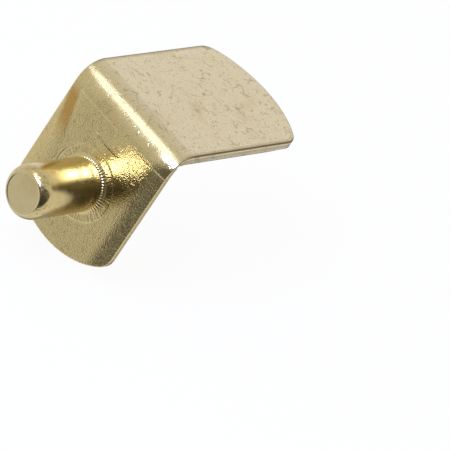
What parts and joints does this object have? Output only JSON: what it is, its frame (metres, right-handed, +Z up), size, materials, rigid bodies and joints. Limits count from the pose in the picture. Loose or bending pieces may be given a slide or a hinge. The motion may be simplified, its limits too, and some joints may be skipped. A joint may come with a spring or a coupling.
{
  "type": "shelf support pin",
  "caption": "Folded metal shelf support: a level leaf that the shelf rests on, an upright leaf, and a headed round pin that plugs into a hole in the cabinet side.",
  "frame": {"origin": "on the pin's axis, where it crosses the outer face of the upright leaf that lies against the cabinet side", "axes": "+Z up, as the support is fitted; the pin points along -X into the cabinet side, the level leaf reaches along +X, and Y runs across the strip"},
  "size_m": [0.0354, 0.0166, 0.0203],
  "materials": {
    "bracket_plating": "pale brass plating on stamped sheet, satin",
    "pin_plating": "brass plating on turned metal, glossy"
  },
  "bodies": {
    "root": {"bracket": "bracket_plating", "pin": "pin_plating"}
  },
  "joints": []
}
